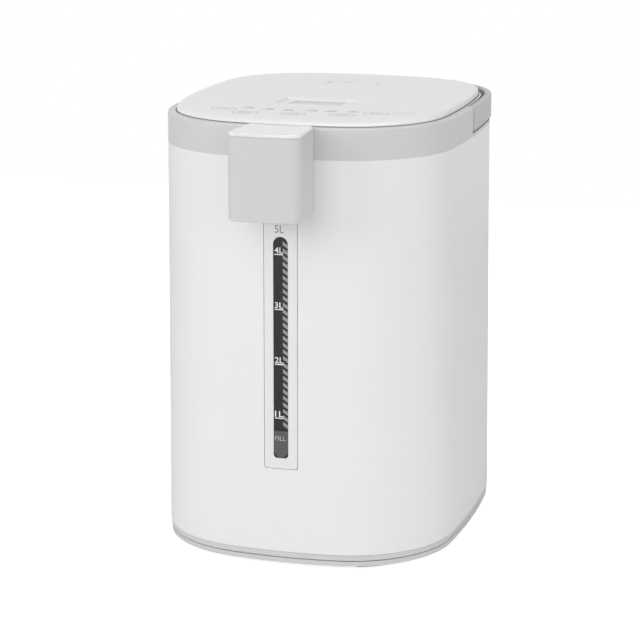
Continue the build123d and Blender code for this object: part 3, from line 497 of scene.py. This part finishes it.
def piece(name, meshes, place, material):
    # joins flat shapes into one object and lays each corner on its carrier
    form = bmesh.new()
    for mesh in meshes:
        form.from_mesh(mesh)
        bpy.data.meshes.remove(mesh)
    for vertex in form.verts:
        vertex.co = place(*vertex.co)
    bmesh.ops.recalc_face_normals(form, faces=form.faces)
    joined = bpy.data.meshes.new(name)
    form.to_mesh(joined)
    form.free()
    joined.materials.clear()
    joined.materials.append(material)
    made = bpy.data.objects.new(name, joined)
    bpy.context.scene.collection.objects.link(made)
    return made


# a geometry node tree for what repeats, with one named input for each of its sizes
class Pattern:
    def __init__(self, name, sizes):
        self.tree = bpy.data.node_groups.new(name, "GeometryNodeTree")
        self.tree.is_modifier = True
        self.sizes = sizes
        self.tree.interface.new_socket("Geometry", in_out="INPUT", socket_type="NodeSocketGeometry")
        for key, value in sizes.items():
            kind = "NodeSocketInt" if isinstance(value, int) else "NodeSocketFloat"
            self.tree.interface.new_socket(key, in_out="INPUT", socket_type=kind)
        self.tree.interface.new_socket("Geometry", in_out="OUTPUT", socket_type="NodeSocketGeometry")
        self.given = self.tree.nodes.new("NodeGroupInput")
        self.result = self.tree.nodes.new("NodeGroupOutput")

    def size(self, key):
        return self.given.outputs[key]

    def node(self, kind, settings=None, inputs=None):
        made = self.tree.nodes.new(kind)
        for key, value in (settings or {}).items():
            setattr(made, key, value)
        for key, value in (inputs or {}).items():
            if isinstance(value, bpy.types.NodeSocket):
                self.tree.links.new(value, made.inputs[key])
            else:
                made.inputs[key].default_value = value
        return made.outputs[0]

    def maths(self, operation, first, second):
        return self.node("ShaderNodeMath", {"operation": operation}, {0: first, 1: second})

    def vector(self, x, y, z):
        return self.node("ShaderNodeCombineXYZ", inputs={0: x, 1: y, 2: z})

    def finish(self, instances, material):
        real = self.node("GeometryNodeRealizeInstances", inputs={"Geometry": instances})
        dressed = self.node("GeometryNodeSetMaterial", inputs={"Geometry": real, "Material": material})
        self.tree.links.new(dressed, self.result.inputs["Geometry"])

    def grow(self, seeds):
        # runs the tree on a handful of points and gives the plain mesh
        mesh = bpy.data.meshes.new("seeds")
        mesh.from_pydata([(u, v, 0) for u, v in seeds], [], [])
        source = bpy.data.objects.new("seeds", mesh)
        bpy.context.scene.collection.objects.link(source)
        modifier = source.modifiers.new("pattern", "NODES")
        modifier.node_group = self.tree
        for item in self.tree.interface.items_tree:
            if item.in_out == "INPUT" and item.name in self.sizes:
                modifier[item.identifier] = self.sizes[item.name]
        grown = evaluatedMesh(source)
        source.modifiers.clear()
        bpy.data.objects.remove(source)
        return grown


# level gauge: litre marks, the fill block and the slanted sight stripes
gauge = {
    "half": 5.2 * millimetre,            # half the fill block's width, inside the slot's edge
    "foot": 84.7 * millimetre,           # its lowest point
    "fillTop": 104.4 * millimetre,
    "litres": {1: 114.1, 2: 154.0, 3: 194.3, 4: 234.3},    # heights of the underlines in millimetres
    "textLeft": -4.5 * millimetre,
    "textWide": 6.4 * millimetre,
    "textHigh": 4.4 * millimetre,
    "textWeight": 0.008,                 # what the strokes gain, as a share of the font's size
    "line": 0.7 * millimetre,
    "textRise": 1.3,                     # the text's foot above its underline's middle, in lines
    "ink": 0.06 * millimetre,
    "topMark": (-4.2, 249.9, 2.6, 255.6),     # 5L on the strip: left, low, right, high in millimetres
    "fillText": (-4.4, 97.3, 3.6, 100.6),     # the same for FILL on its block
}
inkWhite = printInk("inkWhite", grey(236))
inkGrey = printInk("inkGrey", grey(146))
inkPale = printInk("inkPale", grey(178))
inkBlock = printInk("inkBlock", grey(84))
windowPlace = onFront("gauge_window")
stripPlace = onFront("gauge_strip")

marks = []
left = gauge["textLeft"]
right = left + gauge["textWide"]
for litre, height in gauge["litres"].items():
    base = height * millimetre
    foot = base + gauge["line"] * gauge["textRise"]
    head = foot + gauge["textHigh"]
    half = gauge["line"] / 2
    marks.append(bar(left, base - half, right, base + half, gauge["ink"]))
    marks.append(letters(f"{litre}L", (left, foot), (right, head), gauge["ink"], gauge["textWeight"]))
litreMarks = piece("litre_marks", marks, windowPlace, inkWhite)
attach(litreMarks, "root")

fullMark = piece("full_mark", [boxText("5L", gauge["topMark"], gauge["ink"])], stripPlace, inkGrey)
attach(fullMark, "root")

fillShape = patch(roundFooted(gauge["half"], gauge["foot"], gauge["fillTop"]), gauge["ink"])
fillBlock = piece("fill_block", [fillShape], windowPlace, inkBlock)
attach(fillBlock, "root")
fillText = piece("fill_text", [boxText("FILL", gauge["fillText"], 2 * gauge["ink"])], windowPlace, inkPale)
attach(fillText, "root")

stripeField = {                          # where the lowest stripe lies on the window
    "centre": 3.45 * millimetre,
    "foot": 109.0 * millimetre,
}
stripes = Pattern("sightStripes", {
    "Count": 28,
    "Pitch": 4.9 * millimetre,
    "Wide": 3.7 * millimetre,
    "High": 2.7 * millimetre,
    "Slant": 0.66,                       # fall for each unit to the right
    "Thick": 0.05 * millimetre,
})
columns = 6                              # points across one stripe, so that it follows the window
cell = stripes.node("GeometryNodeMeshGrid", inputs={
    "Size X": stripes.size("Wide"), "Size Y": stripes.size("High"), "Vertices X": columns, "Vertices Y": 2})
across = stripes.node("ShaderNodeSeparateXYZ", inputs={0: stripes.node("GeometryNodeInputPosition")})
fall = stripes.maths("MULTIPLY", stripes.maths("MULTIPLY", across, stripes.size("Slant")), -1.0)
slanted = stripes.node("GeometryNodeSetPosition", inputs={
    "Geometry": cell, "Offset": stripes.vector(0.0, fall, 0.0)})
solid = stripes.node("GeometryNodeExtrudeMesh", inputs={
    "Mesh": slanted, "Offset Scale": stripes.size("Thick"), "Individual": False})
ladder = stripes.node("GeometryNodeMeshLine", inputs={
    "Count": stripes.size("Count"), "Offset": stripes.vector(0.0, stripes.size("Pitch"), 0.0)})
stripes.finish(stripes.node("GeometryNodeInstanceOnPoints", inputs={
    "Points": ladder, "Instance": solid}), inkGrey)
grown = stripes.grow([(0, 0)])
for vertex in grown.vertices:
    vertex.co.x += stripeField["centre"]
    vertex.co.y += stripeField["foot"]
sightStripes = piece("sight_stripes", [grown], windowPlace, inkGrey)
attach(sightStripes, "root")
print("gauge printed")


# touch panel: outlined keys, number labels and small signs
panel = {                                # spots are right of and behind the body's centre, in millimetres
    "keys": ((-55.8, -90.0), (-35.5, -103.1), (-0.2, -101.0), (34.8, -96.6), (56.4, -84.2)),
    "numbers": {"98": (-38.9, -81.7), "90": (-23.2, -84.5), "80": (-7.7, -85.9),
                "70": (8.8, -82.6), "60": (23.1, -81.8), "45": (38.4, -79.8)},
    "keyWide": 18.3 * millimetre,
    "keyDeep": 9.4 * millimetre,
    "keyRound": 0.499,                    # corner radius as a share of the key's depth
    "line": 0.6 * millimetre,
    "ink": 0.05 * millimetre,
    "textWide": 5.6 * millimetre,
    "textHigh": 3.4 * millimetre,
    "dashWide": 9.4 * millimetre,
    "dashHigh": 0.9 * millimetre,
    "dashGap": 2.0 * millimetre,          # from the dash up to its number
    "signWide": 9.0 * millimetre,
    "signHigh": 1.3 * millimetre,
    "rule": ((65.9, -78.6), (83.3, -75.0)),     # thin line at the right
}
inkPanel = printInk("inkPanel", grey(158, 0.004))
inkSign = printInk("inkSign", grey(138, 0.004))
panelPlace = onTop("control_cover")


def onPanel(spot):
    return (spot[0] * millimetre, bodyY + spot[1] * millimetre)


keys = Pattern("touchKeys", {
    "Wide": panel["keyWide"],
    "Deep": panel["keyDeep"],
    "Round": panel["keyRound"],
    "Line": panel["line"],
    "Thick": panel["ink"],
})
ringShape = keys.node("GeometryNodeCurvePrimitiveQuadrilateral", inputs={
    "Width": keys.size("Wide"), "Height": keys.size("Deep")})
corner = keys.maths("MULTIPLY", keys.size("Deep"), keys.size("Round"))
rounded = keys.node("GeometryNodeFilletCurve", {"mode": "POLY"}, {
    "Curve": ringShape, "Count": 8, "Radius": corner})
profile = keys.node("GeometryNodeCurvePrimitiveQuadrilateral", inputs={
    "Width": keys.size("Line"), "Height": keys.size("Thick")})
pill = keys.node("GeometryNodeCurveToMesh", inputs={"Curve": rounded, "Profile Curve": profile})
keys.finish(keys.node("GeometryNodeInstanceOnPoints", inputs={
    "Points": keys.size("Geometry"), "Instance": pill}), inkPanel)
keySpots = [onPanel(spot) for spot in panel["keys"]]
keyRings = piece("key_outlines", [keys.grow(keySpots)], panelPlace, inkPanel)
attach(keyRings, "root")

labels = []
for number, spot in panel["numbers"].items():        # a number with a dash in front of it
    x, y = onPanel(spot)
    foot = y - (panel["textHigh"] + panel["dashGap"]) / 2
    low = foot + panel["dashGap"]
    half = panel["textWide"] / 2
    labels.append(letters(number, (x - half, low), (x + half, low + panel["textHigh"]), panel["ink"]))
    half = panel["dashWide"] / 2
    labels.append(bar(x - half, foot, x + half, foot + panel["dashHigh"], panel["ink"]))
for x, y in keySpots:                                # a short sign in the middle of each key
    half = panel["signWide"] / 2
    rise = panel["signHigh"] / 2
    labels.append(bar(x - half, y - rise, x + half, y + rise, panel["ink"]))
(left, front), (right, rear) = (onPanel(spot) for spot in panel["rule"])
rule = [(left, front), (right, rear), (right, rear + panel["line"]), (left, front + panel["line"])]
labels.append(patch(rule, panel["ink"]))
keyLabels = piece("key_labels", labels, panelPlace, inkSign)
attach(keyLabels, "root")
print("panel printed")


# stage: pale floor, white background, soft lamps
stage = {
    "floor": 236,             # floor's grey level
    "glow": 0.8,              # what the floor adds for the camera alone
    "reach": 1.3,             # metres out to where the floor ends and the white background begins
    "ambient": 0.12,          # world light on the pot
    "aim": (0, 0, 0.17),      # the point that every lamp faces
    "size": 1.5,              # side of a lamp in metres
    "plain": ("rear", "frontLow"),     # lamps that would glare along the lid if it mirrored them
    "lamps": {                # where each lamp stands, and its watts
        "frontLow": ((-0.3, -2.8, 0.9), 17.5),
        "frontHigh": ((-0.3, -2.0, 2.2), 11.0),
        "leftFront": ((-2.2, -1.9, 1.2), 31.0),
        "rightFront": ((1.8, -2.2, 1.2), 13.2),
        "right": ((2.8, -0.3, 1.0), 26.0),
        "top": ((0, 0.3, 3.0), 26.0),
        "rear": ((-0.9, 2.8, 0.5), 24.0),
    },
}
reach = stage["reach"]
floorCorners = [(-reach, -reach, 0), (reach, -reach, 0), (reach, reach, 0), (-reach, reach, 0)]
floorMesh = bpy.data.meshes.new("floor")
floorMesh.from_pydata(floorCorners, [], [(0, 1, 2, 3)])
floor = bpy.data.objects.new("floor", floorMesh)
bpy.context.scene.collection.objects.link(floor)
floorFinish = Finish("paleFloor")
rays = floorFinish.node("LightPath", output="Is Camera Ray")
floorMesh.materials.append(floorFinish.surface(
    Base_Color=grey(stage["floor"]),
    Roughness=0.9,
    Specular_IOR_Level=0.0,
    Emission_Color=(1, 1, 1, 1),
    Emission_Strength=rays * stage["glow"],
))

world = bpy.data.worlds.new("studio")    # white where it is seen, dim where it lights the pot
world.use_nodes = True
bpy.context.scene.world = world
sky = world.node_tree
backdrop = sky.nodes["Background"]
path = sky.nodes.new("ShaderNodeLightPath")
seen = path.outputs["Is Camera Ray"]
for ray in ("Is Glossy Ray", "Is Transmission Ray"):
    either = sky.nodes.new("ShaderNodeMath")
    either.operation = "MAXIMUM"
    sky.links.new(seen, either.inputs[0])
    sky.links.new(path.outputs[ray], either.inputs[1])
    seen = either.outputs[0]
level = sky.nodes.new("ShaderNodeMapRange")
level.inputs["To Min"].default_value = stage["ambient"]
level.inputs["To Max"].default_value = 1.0
sky.links.new(seen, level.inputs["Value"])
sky.links.new(level.outputs[0], backdrop.inputs["Strength"])
backdrop.inputs["Color"].default_value = (1, 1, 1, 1)


def lamp(name, place, power, gloss):
    # a square soft lamp turned to the pot; without gloss it lights but isn't mirrored
    data = bpy.data.lights.new(name, "AREA")
    data.energy = power
    data.size = stage["size"]
    light = bpy.data.objects.new(name, data)
    light.location = place
    toward = Vector(stage["aim"]) - Vector(place)
    light.rotation_euler = toward.to_track_quat("-Z", "Y").to_euler()
    light.visible_glossy = gloss
    bpy.context.scene.collection.objects.link(light)


for name, (place, power) in stage["lamps"].items():
    lamp(name, place, power, name not in stage["plain"])
bpy.context.scene.view_settings.view_transform = "Standard"
print("stage set:", len(stage["lamps"]), "lamps")
